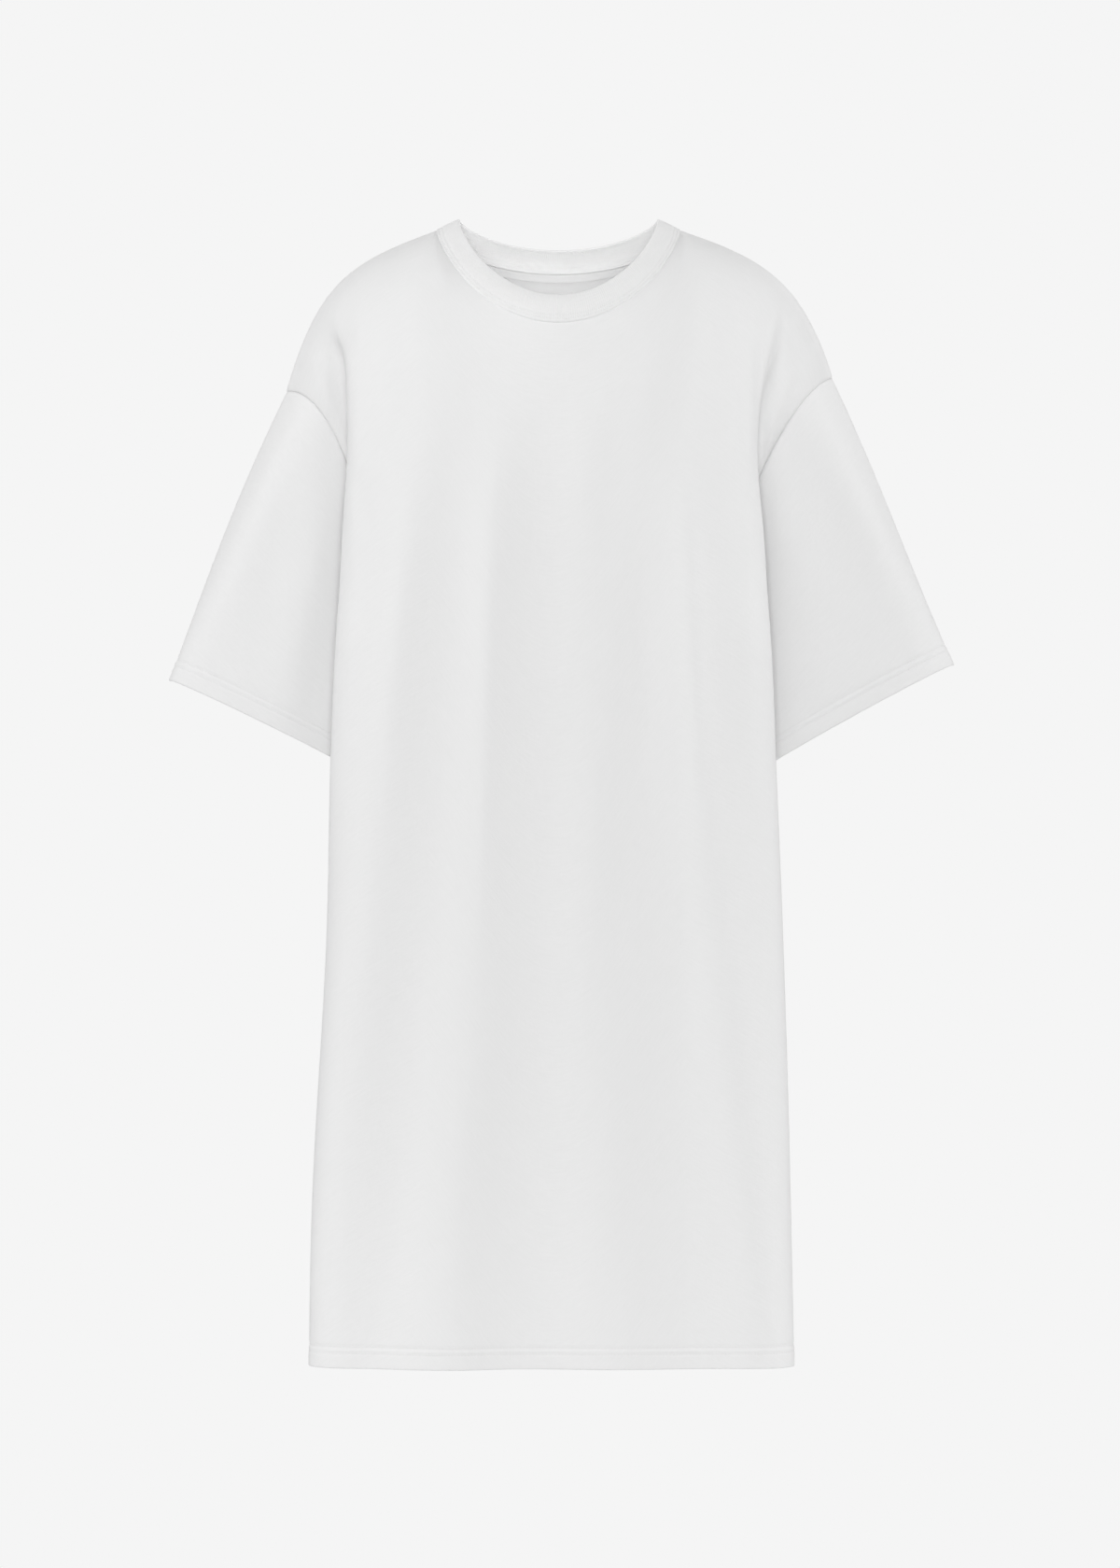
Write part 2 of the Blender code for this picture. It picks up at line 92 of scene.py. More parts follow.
# Columns reach the underarm in line with the body just below it, except beside the side seam,
# where they lean as UNDERARM_WAY says: inwards, to the middle of the depth, and down
ARRIVAL_DROP = 0.02
SIDE_START = 0.78
SIDE_BLEND = 0.22
UNDERARM_WAY = (0.10, 0.44, 0.88)

# Rounds that smooth away the crease below the corner of the neckline
SOFTENING_ROUNDS = 140

# Each side of the yoke, with x away from the centre, and the cuff's two ends
YOKE_COLUMNS = (
    "sign", "line_1", "line_2", "armhole_top", "tip_lean", "armhole_start",
    "cuff_outer", "cuff_inner", "outer_bow",
)
YOKES = {
    "left": (
        -1, (0.202, -0.041), (0.232, -0.059), (0.263, -0.166), 0.20, (0.75, 1.20, 0.00),
        (0.375, -0.444), (0.184, -0.538), 0.0045,
    ),
    "right": (
        1, (0.202, -0.038), (0.236, -0.061), (0.265, -0.153), 0.45, (0.58, 1.10, -0.22),
        (0.381, -0.429), (0.190, -0.534), 0.0010,
    ),
}
SLEEVE_HALF_DEPTH = 0.034
SLEEVE_LENGTH = 0.30
CUFF_LIFT = 0.004
CUFF_PULL = 0.35

# Soft upright folds: where each ridge starts and meets the hem, how late it bends from one to the
# other, its height at the hem above the cloth beside it, half its spread at both ends, and the
# height where it starts.
FOLD_COLUMNS = ("top_x", "hem_x", "bend", "rise", "top_spread", "hem_spread", "start")
FRONT_FOLDS = (
    (-0.136, -0.245, 1.5, 0.0095, 0.022, 0.040, -0.150),
    (-0.057, -0.108, 1.7, 0.0135, 0.024, 0.050, -0.120),
    (0.026, 0.052, 4.0, 0.0080, 0.024, 0.050, -0.160),
    (0.106, 0.208, 1.6, 0.0090, 0.026, 0.040, -0.140),
)
BACK_FOLDS = (
    (-0.150, -0.222, 1.4, 0.0090, 0.026, 0.042, -0.170),
    (-0.066, -0.088, 1.2, 0.0120, 0.028, 0.050, -0.190),
    (0.030, 0.060, 2.0, 0.0095, 0.024, 0.050, -0.150),
    (0.122, 0.196, 1.5, 0.0100, 0.026, 0.042, -0.180),
)

# The length over which a fold grows from its start, and the share of its rise that it has there
FOLD_GROWTH = 0.22
FOLD_AT_START = 0.50

# The valley between body and sleeve: its share of the way to the side, and how it fades out
VALLEY_DEPTH = 0.012
VALLEY_CENTRE = 0.86
VALLEY_SPREAD = 0.070
VALLEY_TOP = -0.075
VALLEY_TOP_FADE = 0.09
VALLEY_FOOT_FADE = 0.12
VALLEY_EDGE = 0.010
VALLEY_EDGE_FADE = 0.050

# Soft folds along the sleeve: the place round it as a share, the rise, and half the spread
SLEEVE_FOLD_COLUMNS = ("turn", "rise", "spread")
SLEEVE_FOLDS = (
    (0.10, 0.0050, 0.05),
    (0.27, 0.0040, 0.06),
    (0.66, 0.0050, 0.06),
    (0.86, 0.0045, 0.05),
)

# Small creases: x and z of both ends in metres, the depth, and half the width.
# A negative depth is a ridge.
CREASE_COLUMNS = ("x_1", "z_1", "x_2", "z_2", "depth", "width")
FRONT_CREASES = (
    (-0.2135, -0.080, -0.2145, -0.290, 0.0066, 0.0095),
    (0.1935, -0.070, 0.1915, -0.330, 0.0030, 0.0065),
    (0.219, -0.076, 0.213, -0.190, 0.0045, 0.007),
    (-0.207, -0.072, -0.196, -0.150, 0.0015, 0.008),
    (-0.128, -0.055, -0.150, -0.170, 0.0010, 0.012),
    (0.130, -0.050, 0.158, -0.180, 0.0012, 0.013),
    (-0.192, -0.235, -0.176, -0.330, 0.0012, 0.008),
    (0.186, -0.225, 0.172, -0.320, 0.0012, 0.009),
    (-0.020, -0.420, -0.028, -0.700, 0.0010, 0.016),
    (0.070, -0.300, 0.092, -0.560, 0.0010, 0.014),
    (-0.191, -0.070, -0.198, -0.560, -0.0012, 0.008),
    (0.177, -0.080, 0.186, -0.600, -0.0012, 0.010),
    (-0.064, -0.190, -0.074, -0.740, -0.0024, 0.012),
    (0.118, -0.230, 0.142, -0.660, -0.0024, 0.013),
    (-0.139, -0.250, -0.172, -0.600, -0.0014, 0.012),
)
BACK_CREASES = (
    (-0.214, -0.080, -0.205, -0.200, 0.0040, 0.008),
    (0.216, -0.074, 0.204, -0.180, 0.0035, 0.009),
    (-0.120, -0.040, -0.140, -0.150, 0.0012, 0.012),
    (0.118, -0.042, 0.150, -0.190, 0.0012, 0.013),
    (0.004, -0.330, -0.012, -0.640, 0.0010, 0.015),
    (-0.072, -0.240, -0.080, -0.780, -0.0020, 0.013),
    (0.130, -0.260, 0.152, -0.640, -0.0022, 0.013),
)

# Faint long waves of hanging cloth: their lengths across and down, heights and seeds
WAVE_COUNT = 7
WAVE_ACROSS = (0.05, 0.16)
WAVE_DOWN = (0.22, 0.60)
BODY_WAVE_HEIGHT = 0.0011
SLEEVE_WAVE_HEIGHT = 0.0010
WAVE_SEEDS = {"front": 11, "back": 23, "left": 5, "right": 8}

# Sewing: rows of stitches by their distance from the edge, in metres
RIB_STITCH_ROWS = (0.0024, 0.0058)
HEM_STITCH_ROWS = (0.0135, 0.0198)
CUFF_STITCH_ROWS = (0.0140, 0.0200)
STITCH_PITCH = 0.0031
STITCH_LENGTH = 0.0024
THREAD_RADIUS = 0.00032
THREAD_SIDES = 6
SIDE_SEAM_INSET = 0.003

# A stitch along its length: the place as a share, and girth and lift as shares of the radius
STITCH_PROFILE = (
    (0.00, 0.35, -0.90),
    (0.14, 0.85, -0.15),
    (0.38, 1.00, 0.25),
    (0.62, 1.00, 0.25),
    (0.86, 0.85, -0.15),
    (1.00, 0.35, -0.90),
)

# The turned hems: how far the cloth is doubled past the upper row of stitches, its sewn grooves,
# its swell and its faint puckers
FOLD_PAST_STITCHES = 0.0008
FOLD_FADE = 0.0012
HEM_GROOVE_DEPTH = 0.00045
HEM_GROOVE_WIDTH = 0.0013
HEM_SWELL = 0.00055
PUCKER_HEIGHT = 0.00014
PUCKER_SPREAD = 0.009
PUCKER_PITCH = 0.0105
PUCKER_DRIFT_PITCH = 0.083

# The neck rib: the length round its middle, its ribs, the share of its width that laps under the
# seam, its sewn grooves, and how far it stands above the seam
RIB_ROUND = 0.66
RIB_PITCH = 0.0019
POINTS_PER_RIB = 4
RIB_LAP = 0.035
RIDGE_HEIGHT = 0.00016
RIB_GROOVE_DEPTH = 0.00040
RIB_GROOVE_WIDTH = 0.0011
RIB_STAND = 0.0009
RIB_SINK = 0.0002
RIB_EDGE_START = 0.020
RIB_EDGE_FADE = 0.006

# The neck tape: how far below the rib's seam it starts, its gap to the back, and its curled edge
TAPE_TOP = 0.0012
TAPE_GAP = 0.0004
TAPE_CURL = 0.0003
TAPE_CURL_WIDTH = 0.0035

# Camera, floor and light: the pixel's size in metres at the dress, and the picture's height
PIXEL = 0.0009
PHOTO_HEIGHT = 1680
LENS = 130.0
SENSOR = 36.0
CAMERA_X = 0.0015
CAMERA_Z = -0.5445
FLOOR_HEIGHT = -1.47
FLOOR_RADIUS = 0.95
FLOOR_SIDES = 96
ROOM_STRENGTH = 0.355
GROUND_SHADE = 0.913
LIGHT_AIM = (0.0, 0.0, -0.55)

# Lights outside the dress: place, side of the square, and power in watts
LIGHTS = (
    ("front", (0.0, -5.0, -0.5), 1.0, 84.0),
    ("left_front", (-3.2, -3.8, 0.2), 1.6, 7.0),
    ("left", (-4.9, -0.9, 0.2), 1.8, 80.0),
    ("right_front", (3.2, -3.8, 0.2), 1.6, 20.0),
    ("right", (4.8, -1.3, 0.0), 1.8, 28.0),
    ("right_rear", (4.9, 0.9, 0.0), 1.8, 64.0),
    ("back", (-0.8, 5.0, 0.3), 1.6, 90.0),
    ("top", (-0.4, -2.4, 3.4), 1.8, 56.0),
)

# Small lights inside the dress, in place of the light that passes through white cloth: place,
# aim, side and power
INNER_LIGHTS = (
    ("neck", (0.0, -0.050, -0.030), (0.0, 0.06, 0.000), 0.10, 0.022),
    ("inside", (0.0, -0.020, -0.300), (0.0, 0.03, 0.000), 0.14, 0.22),
)

# Columns of half a panel: counts, and shares of the way from the centre to the side
HALF_COLUMNS_TO_FOLD = 62
HALF_COLUMNS_OF_FOLD = 34
FOLD_SHARE = 0.62
SEAM_SHARE = 0.975
SEAM_COLUMNS = (0.020, 0.0145, 0.0100, 0.0065, 0.0035, 0.0)

# Rows of the shells. They lie closer together beside the top seam, in metres from it, beside the
# armhole, in shares of the sleeve, and over the hems, from a little above the hem's start.
TOP_ROWS = (0.0, 0.0012, 0.0024, 0.0038, 0.0056, 0.0080, 0.0110)
YOKE_ROWS = 48
BODY_ROWS = 104
HEM_ROWS = 18
HEM_START = 0.0215
HEM_LEAD = 0.003
ARMHOLE_SHARES = (0.0, 0.004, 0.008, 0.013, 0.019, 0.027)
SLEEVE_ROWS = 44
CUFF_ROWS = 20
CUFF_START = 0.0215
CUFF_LEAD = 0.01
RIB_SEWN_SHARE = 0.30
RIB_LOWER_ROWS = 12
RIB_UPPER_ROWS = 15
TAPE_ROWS = 9
BACK_ROWS_UNDER_TAPE = 12
SECTION_POINTS = 2400
CURVE_POINTS = 220

# The rounded edge of a shell: its rows in degrees round it, where they lie as shares of the way
# round it, and that way in half thicknesses
EDGE_TURNS = (40, 75, 105, 140)
EDGE_SHARES = (0.3, 0.5, 0.6, 0.8)
EDGE_WAY = 3


def smooth(value):
    """0 below 0, 1 above 1, and an even ease in between."""
    value = np.clip(value, 0.0, 1.0)
    return value * value * (3.0 - 2.0 * value)


def unit(vectors):
    return vectors / np.maximum(np.linalg.norm(vectors, axis=-1, keepdims=True), 1e-9)


def hermite(start, start_pull, end, end_pull, t):
    """The cubic from start to end that leaves and arrives along the two pulls."""
    return (
        (2 * t**3 - 3 * t**2 + 1) * start
        + (t**3 - 2 * t**2 + t) * start_pull
        + (3 * t**2 - 2 * t**3) * end
        + (t**3 - t**2) * end_pull
    )


def section_value(name, height):
    """One column of SECTIONS at any height, on a smooth curve through its rows."""
    rows = np.array(SECTIONS)[::-1]
    heights, values = rows[:, 0], rows[:, SECTION_COLUMNS.index(name)]
    slopes = np.gradient(values, heights)
    height = np.clip(height, heights[0], heights[-1])
    low = np.clip(np.searchsorted(heights, height, side="right") - 1, 0, len(heights) - 2)
    step = heights[low + 1] - heights[low]
    t = (height - heights[low]) / step
    return hermite(values[low], slopes[low] * step, values[low + 1], slopes[low + 1] * step, t)


def quarter_section():
    """A quarter of the body's section as shares of width and depth, even along the cloth."""
    turn = np.linspace(0.0, math.pi / 2, SECTION_POINTS)
    across = np.sin(turn) ** (2 / SQUARENESS)
    deep = np.cos(turn) ** (2 / SQUARENESS)
    steps = np.hypot(np.diff(across) * TYPICAL_HALF_WIDTH, np.diff(deep) * TYPICAL_DEPTH)
    along = np.concatenate([[0.0], np.cumsum(steps)])
    return along / along[-1], across, deep


QUARTER = quarter_section()


def body_point(sign, facing, share, height):
    """A point below the arms. share runs from the centre, 0, to the side seam, 1."""
    across = np.interp(share, QUARTER[0], QUARTER[1])
    deep = np.interp(share, QUARTER[0], QUARTER[2])
    inset = smooth((share - INSET_START) / (1 - INSET_START)) * section_value("side_inset", height)
    x = section_value("sway", height) + sign * (section_value("half_width", height) * across - inset)
    depth = section_value("front" if facing < 0 else "back", height)
    return np.stack([x, facing * depth * deep, height + 0 * x], axis=-1)


def neck_point(base, low, turn):
    """A point of a neckline at turn, from 0 at the centre to a quarter turn at the side."""
    return np.stack(
        [
            base["half_width"] * np.sin(turn),
            base["side_y"] + (low["y"] - base["side_y"]) * np.cos(turn),
            base["side_z"] + (low["z"] - base["side_z"]) * np.abs(np.cos(turn)) ** low["ease"],
        ],
        axis=-1,
    )


def shoulder_point(yoke, t):
    """A point of the shoulder line, from the neck at 0 to the top of the armhole at 1."""
    neck = (NECK_SEAM["half_width"], NECK_SEAM["side_z"])
    weights = np.stack([(1 - t) ** 3, 3 * t * (1 - t) ** 2, 3 * t**2 * (1 - t), t**3], axis=-1)
    flat = weights @ np.array([neck, yoke["line_1"], yoke["line_2"], yoke["armhole_top"]])
    y = NECK_SEAM["side_y"] * (1 - t)
    return np.stack([yoke["sign"] * flat[..., 0], y, flat[..., 1]], axis=-1)


def top_edge(yoke, facing, share):
    """The top edge of a panel: its neckline, then its shoulder seam."""
    low = NECK_SEAM_FRONT if facing < 0 else NECK_SEAM_BACK
    turn = np.clip(share / NECK_SHARE, 0, 1) * math.pi / 2
    neck = neck_point(NECK_SEAM, low, turn) * [yoke["sign"], 1, 1]
    line = shoulder_point(yoke, np.clip((share - NECK_SHARE) / (1 - NECK_SHARE), 0, 1))
    return np.where((share <= NECK_SHARE)[:, None], neck, line)


def eased_between(share, stations):
    """Vectors given at a few shares, eased from one to the next."""
    result = np.zeros((len(share), 3))
    for (low, first), (high, second) in zip(stations, stations[1:]):
        inside = (share >= low) & (share <= high)
        t = smooth((share[inside] - low) / (high - low))[:, None]
        result[inside] = np.array(first) * (1 - t) + np.array(second) * t
    return result


def top_direction(yoke, facing, share):
    """How the columns leave the top edge: down the chest, over the shoulder, along the armhole."""
    inward = -yoke["sign"]
    along, forward, up = yoke["armhole_start"]
    chest = (0.0, facing * 0.24, -0.97) if facing < 0 else (0.0, facing * 0.30, -0.95)
    return eased_between(
        share,
        (
            (0.0, chest),
            (NECK_SHARE, (-inward * 0.30, facing * 0.85, -0.45)),
            (TIP_SHARE, (inward * yoke["tip_lean"] * 0.9, facing * 0.90, -0.32)),
            (1.0, (inward * along, facing * forward, up)),
        ),
    )


def evenly_cut(curve, first_cuts, count):
    """Points of a curve at first_cuts along it, in metres, then count more, evenly to its end."""
    steps = np.linalg.norm(np.diff(curve, axis=0), axis=-1)
    along = np.concatenate([np.zeros((1,) + steps.shape[1:]), np.cumsum(steps, axis=0)])
    result = np.zeros((len(first_cuts) + count,) + curve.shape[1:])
    for column in range(curve.shape[1]):
        rest = np.linspace(first_cuts[-1], along[-1, column], count + 1)[1:]
        at = np.concatenate([first_cuts, rest])
        for axis in range(3):
            result[:, column, axis] = np.interp(at, along[:, column], curve[:, column, axis])
    return result


def half_panel(side, facing, shares, body_heights):
    """Points of half a panel, as rows from the top edge to the hem, columns from centre to side."""
    yoke = dict(zip(YOKE_COLUMNS, YOKES[side]))
    sign = yoke["sign"]
    start = top_edge(yoke, facing, shares)
    end = body_point(sign, facing, shares, np.full(shares.shape, UNDERARM_HEIGHT))
    below = body_point(sign, facing, shares, np.full(shares.shape, UNDERARM_HEIGHT - ARRIVAL_DROP))
    length = np.linalg.norm(end - start, axis=1, keepdims=True)
    to_side = smooth((shares - SIDE_START) / SIDE_BLEND)[:, None] ** 3
    side_way = np.array([-sign, -facing, -1]) * UNDERARM_WAY
    arrive = unit(below - end) * (1 - to_side) + side_way * to_side
    fine = np.linspace(0.0, 1.0, CURVE_POINTS)
    leave = top_direction(yoke, facing, shares)
    curve = np.array([hermite(start, leave * length, end, arrive * length, t) for t in fine])
    upper = evenly_cut(curve, TOP_ROWS, YOKE_ROWS)
    shoulder = shares >= NECK_SHARE
    upper[1, shoulder] = upper[0, shoulder] + np.array([0.0, facing * TOP_ROWS[1], 0.0])
    lower = [body_point(sign, facing, shares, np.full(shares.shape, z)) for z in body_heights]
    return np.concatenate([upper, np.array(lower)])


def grid_normals(grid, closed=False):
    """Unit normals of a grid of points. closed joins the last column to the first."""
    if closed:
        wide = np.concatenate([grid[:, -1:], grid, grid[:, :1]], axis=1)
        across = np.gradient(wide, axis=1)[:, 1:-1]
    else:
        across = np.gradient(grid, axis=1)
    return unit(np.cross(np.gradient(grid, axis=0), across))


def run_along(grid, axis):
    """Distance of each point along its row or column from the first one."""
    steps = np.linalg.norm(np.diff(grid, axis=axis), axis=2)
    first = np.zeros_like(np.take(steps, [0], axis=axis))
    return np.concatenate([first, np.cumsum(steps, axis=axis)], axis=axis)


def fold_rise(grid, folds):
    """How far the folds lift each point of a panel."""
    x, z = grid[..., 0], grid[..., 2]
    rise = np.zeros(x.shape)
    for row in folds:
        fold = dict(zip(FOLD_COLUMNS, row))
        down = np.clip((fold["start"] - z) / (fold["start"] - HEM_HEIGHT), 0, 1)
        centre = fold["top_x"] + (fold["hem_x"] - fold["top_x"]) * down ** fold["bend"]
        spread = fold["top_spread"] + (fold["hem_spread"] - fold["top_spread"]) * down
        grown = smooth((fold["start"] - z) / FOLD_GROWTH)
        grown = grown * (FOLD_AT_START + (1 - FOLD_AT_START) * down)
        rise += fold["rise"] * grown * np.exp(-(((x - centre) / spread) ** 2))
    return rise


def valley_fall(side_share, grid):
    """How far the cloth between body and sleeve falls inwards, below the shoulder's tip."""
    from_top = np.linalg.norm(grid - grid[:1], axis=2)
    across = np.exp(-(((side_share - VALLEY_CENTRE) / VALLEY_SPREAD) ** 2))
    height = grid[..., 2]
    down = smooth((VALLEY_TOP - height) / VALLEY_TOP_FADE)
    down = down * smooth((height - UNDERARM_HEIGHT) / VALLEY_FOOT_FADE)
    off_edge = smooth((from_top - VALLEY_EDGE) / VALLEY_EDGE_FADE)
    return VALLEY_DEPTH * down * across[None, :] * off_edge


def softened(grid, side_share, rounds):
    """The yoke with the crease that the corner of the neckline leaves smoothed across its columns."""
    edge, edge_fade = 0.012, 0.06
    foot, foot_fade = -0.42, 0.10
    side, side_fade = 0.66, 0.12
    from_top = np.linalg.norm(grid - grid[:1], axis=2)
    weight = smooth((from_top - edge) / edge_fade) * smooth((grid[..., 2] - foot) / foot_fade)
    weight = (weight * (1 - smooth((side_share - side) / side_fade)))[..., None]
    for _ in range(rounds):
        mean = (grid[:, :-2] + 2 * grid[:, 1:-1] + grid[:, 2:]) / 4
        grid[:, 1:-1] += (mean - grid[:, 1:-1]) * weight[:, 1:-1]
    return grid


def crease_fall(grid, creases):
    """How far the small creases press each point of a panel in, below 0 where they are ridges."""
    start_taper, end_taper = 0.35, 0.45
    x, z = grid[..., 0], grid[..., 2]
    fall = np.zeros(x.shape)
    for row in creases:
        crease = dict(zip(CREASE_COLUMNS, row))
        way = np.array([crease["x_2"] - crease["x_1"], crease["z_2"] - crease["z_1"]])
        t = ((x - crease["x_1"]) * way[0] + (z - crease["z_1"]) * way[1]) / (way @ way)
        off = np.hypot(x - crease["x_1"] - t * way[0], z - crease["z_1"] - t * way[1])
        taper = smooth(t / start_taper) * smooth((1 - t) / end_taper)
        fall += crease["depth"] * taper * np.exp(-((off / crease["width"]) ** 2))
    return fall


def drape_waves(u, v, seed):
    """Faint long waves of hanging cloth, between -1 and 1, longer down the cloth than across it."""
    draws = np.random.default_rng(seed)
    waves = np.zeros(u.shape)
    for _ in range(WAVE_COUNT):
        across = draws.uniform(*WAVE_ACROSS)
        down = draws.uniform(*WAVE_DOWN)
        phase = draws.uniform(0, 2 * math.pi)
        lean = draws.choice([-1.0, 1.0])
        waves += np.sin(2 * math.pi * (u / across + lean * v / down) + phase)
    return waves / WAVE_COUNT


def seam_dip(distance, depth=0.0010, width=0.0022):
    """The shallow groove in which a seam lies."""
    return depth * np.exp(-((distance / width) ** 2))


def hem_relief(from_edge, rows, u):
    """The turned hem's relief: two sewn grooves with faint puckers, and cloth that swells between."""
    swell_start, swell_fade = 0.001, 0.002
    pucker_middle, drift = 0.003, 1.7
    relief = np.zeros(from_edge.shape)
    for row in rows:
        relief -= seam_dip(from_edge - row, HEM_GROOVE_DEPTH, HEM_GROOVE_WIDTH)
    top = max(rows)
    relief += HEM_SWELL * smooth((top - swell_start - from_edge) / swell_fade)
    near = np.exp(-(((from_edge - top + pucker_middle) / PUCKER_SPREAD) ** 2))
    drifting = drift * np.sin(2 * math.pi * u / PUCKER_DRIFT_PITCH)
    pucker = np.sin(2 * math.pi * u / PUCKER_PITCH + drifting)
    return relief + PUCKER_HEIGHT * near * pucker


def hemmed_wall(from_edge, rows):
    """The thickness of a panel or sleeve, doubled from its edge to just past its stitches."""
    folded = smooth((max(rows) + FOLD_PAST_STITCHES - from_edge) / FOLD_FADE)
    return JERSEY + (HEM_CLOTH - JERSEY) * folded


def cuff_loop(yoke, turn):
    """The sleeve's open end, from its outer end at 0 round the front to its inner end at half a turn."""
    sign = yoke["sign"]
    outer = np.array([sign * yoke["cuff_outer"][0], 0.0, yoke["cuff_outer"][1]])
    inner = np.array([sign * yoke["cuff_inner"][0], 0.0, yoke["cuff_inner"][1]])
    centre, half = (outer + inner) / 2, (inner - outer) / 2
    axis = unit(np.array([sign * -half[2], 0.0, sign * half[0]]))
    loop = centre - half * np.cos(turn)[:, None] - axis * (CUFF_LIFT * np.abs(np.sin(turn)))[:, None]
    loop[:, 1] -= SLEEVE_HALF_DEPTH * np.sin(turn)
    return loop, axis


def sleeve_grid(side, armhole, rows):
    """A sleeve's outer surface, from the armhole's loop to the cuff's."""
    yoke = dict(zip(YOKE_COLUMNS, YOKES[side]))
    closed = np.concatenate([armhole, armhole[:1]])
    along = np.concatenate([[0.0], np.cumsum(np.linalg.norm(np.diff(closed, axis=0), axis=1))])
    turns = along[:-1] / along[-1]
    cuff, axis = cuff_loop(yoke, turns * 2 * math.pi)
    reach = np.linalg.norm(cuff - armhole, axis=1, keepdims=True)
    way = unit((1 - CUFF_PULL) * unit(cuff - armhole) + CUFF_PULL * axis)
    grid = np.array([hermite(armhole, way * reach, cuff, way * reach, t) for t in rows])
    outer_side = (0.5 + 0.5 * np.cos(turns * 2 * math.pi)) ** 2
    bow = yoke["outer_bow"] * np.sin(math.pi * rows)[:, None] * outer_side
    grid[..., 0] += yoke["sign"] * bow
    normals = grid_normals(grid, closed=True) * (1 if side == "left" else -1)
    rise = np.zeros(len(turns))
    for row in SLEEVE_FOLDS:
        fold = dict(zip(SLEEVE_FOLD_COLUMNS, row))
        rise += fold["rise"] * np.exp(-(((turns - fold["turn"]) / fold["spread"]) ** 2))
    towards_cuff = 0.8
    grown = np.sin(math.pi * np.clip(rows, 0, 1) ** towards_cuff)
    return grid + normals * (grown[:, None] * rise[None, :])[..., None]


def panel_shares():
    """Places of the columns from the centre to the side, narrow ones beside the side seam."""
    wide = np.linspace(0.0, FOLD_SHARE, HALF_COLUMNS_TO_FOLD + 1)
    neck_at = np.argmin(np.abs(wide - NECK_SHARE))
    neck = np.linspace(0, NECK_SHARE, neck_at + 1)
    shoulder = np.linspace(NECK_SHARE, FOLD_SHARE, len(wide) - neck_at)[1:]
    fold = np.linspace(FOLD_SHARE, SEAM_SHARE, HALF_COLUMNS_OF_FOLD + 1)[1:]
    return np.concatenate([neck, shoulder, fold, 1 - np.array(SEAM_COLUMNS)])


def body_levels():
    """Heights of the rows below the arms, closer together over the hem."""
    hem_start = HEM_HEIGHT + HEM_START + HEM_LEAD
    even = np.linspace(UNDERARM_HEIGHT, hem_start, BODY_ROWS + 1)[1:]
    hem = np.linspace(hem_start, HEM_HEIGHT, HEM_ROWS + 1)[1:]
    return np.concatenate([even, hem])


def sleeve_levels():
    """Places of the rows from the armhole, 0, to the cuff, 1, closer together beside both."""
    hem_start = 1 - CUFF_START / SLEEVE_LENGTH - CUFF_LEAD
    even = np.linspace(ARMHOLE_SHARES[-1], hem_start, SLEEVE_ROWS)[1:]
    hem = np.linspace(hem_start, 1.0, CUFF_ROWS)[1:]
    return np.concatenate([ARMHOLE_SHARES, even, hem])


def panel(facing, shares):
    """The outer surface of the front or the back, and its distances across and down the cloth."""
    lift_fade, wave_fade = 0.10, 0.06
    wave_start, wave_growth = 0.03, 0.15
    halves = [half_panel(side, facing, shares, body_levels()) for side in YOKES]
    grid = np.concatenate([halves[0][:, ::-1], halves[1][:, 1:]], axis=1)
    side_share = np.concatenate([shares[::-1], shares[1:]])
    grid = softened(grid, side_share, SOFTENING_ROUNDS)
    sign = 1 if facing < 0 else -1
    normals = grid_normals(grid) * sign
    lift = fold_rise(grid, FRONT_FOLDS if facing < 0 else BACK_FOLDS) - valley_fall(side_share, grid)
    lift -= crease_fall(grid, FRONT_CREASES if facing < 0 else BACK_CREASES)
    lift *= smooth((1 - side_share) / lift_fade)
    across = run_along(grid, 1)
    middle = len(shares) - 1
    u = across - across[:, middle : middle + 1]
    v = run_along(grid, 0)
    seed = WAVE_SEEDS["front" if facing < 0 else "back"]
    waves = drape_waves(u, v, seed) * smooth((v - wave_start) / wave_growth)
    lift += BODY_WAVE_HEIGHT * waves * smooth((1 - side_share) / wave_fade)
    from_side = np.minimum(across, across[:, -1:] - across)
    from_hem = v[-1:] - v
    past_neck = smooth((side_share - NECK_SHARE) / DIP_BLEND)
    top_depth = NECK_DIP + (SHOULDER_DIP - NECK_DIP) * past_neck
    relief = hem_relief(from_hem, HEM_STITCH_ROWS, u) - seam_dip(from_side) - seam_dip(v, top_depth)
    grid = grid + normals * (lift + relief)[..., None]
    return grid, grid_normals(grid) * sign, u, v, from_hem


def rib_grid(turns, rows):
    """The neck rib's outer surface, from its seam to its top edge, round from the front's centre."""
    sine, cosine = np.sin(turns), np.cos(turns)
    from_centre = np.arctan2(np.abs(sine), np.abs(cosine))
    mirror = np.stack([np.sign(sine + 1e-9), np.ones(len(turns)), np.ones(len(turns))], axis=-1)
    is_front = (cosine >= -1e-9)[:, None]
    side_bulge, rise = 0.15, 0.6
    loops = []
    for base, front, back in (
        (NECK_SEAM, NECK_SEAM_FRONT, NECK_SEAM_BACK),
        (RIB_TOP, RIB_TOP_FRONT, RIB_TOP_BACK),
    ):
        front_half = neck_point(base, front, from_centre)
        back_half = neck_point(base, back, from_centre)
        loops.append(np.where(is_front, front_half, back_half) * mirror)
    seam, top = loops
    bulge = side_bulge + (1 - side_bulge) * cosine**2
    outward = (unit(seam * [1, 1, 0]) + [0, 0, rise]) * bulge[:, None]
    return np.array([seam + (top - seam) * t + outward * RIB_BULGE * 4 * t * (1 - t) for t in rows])


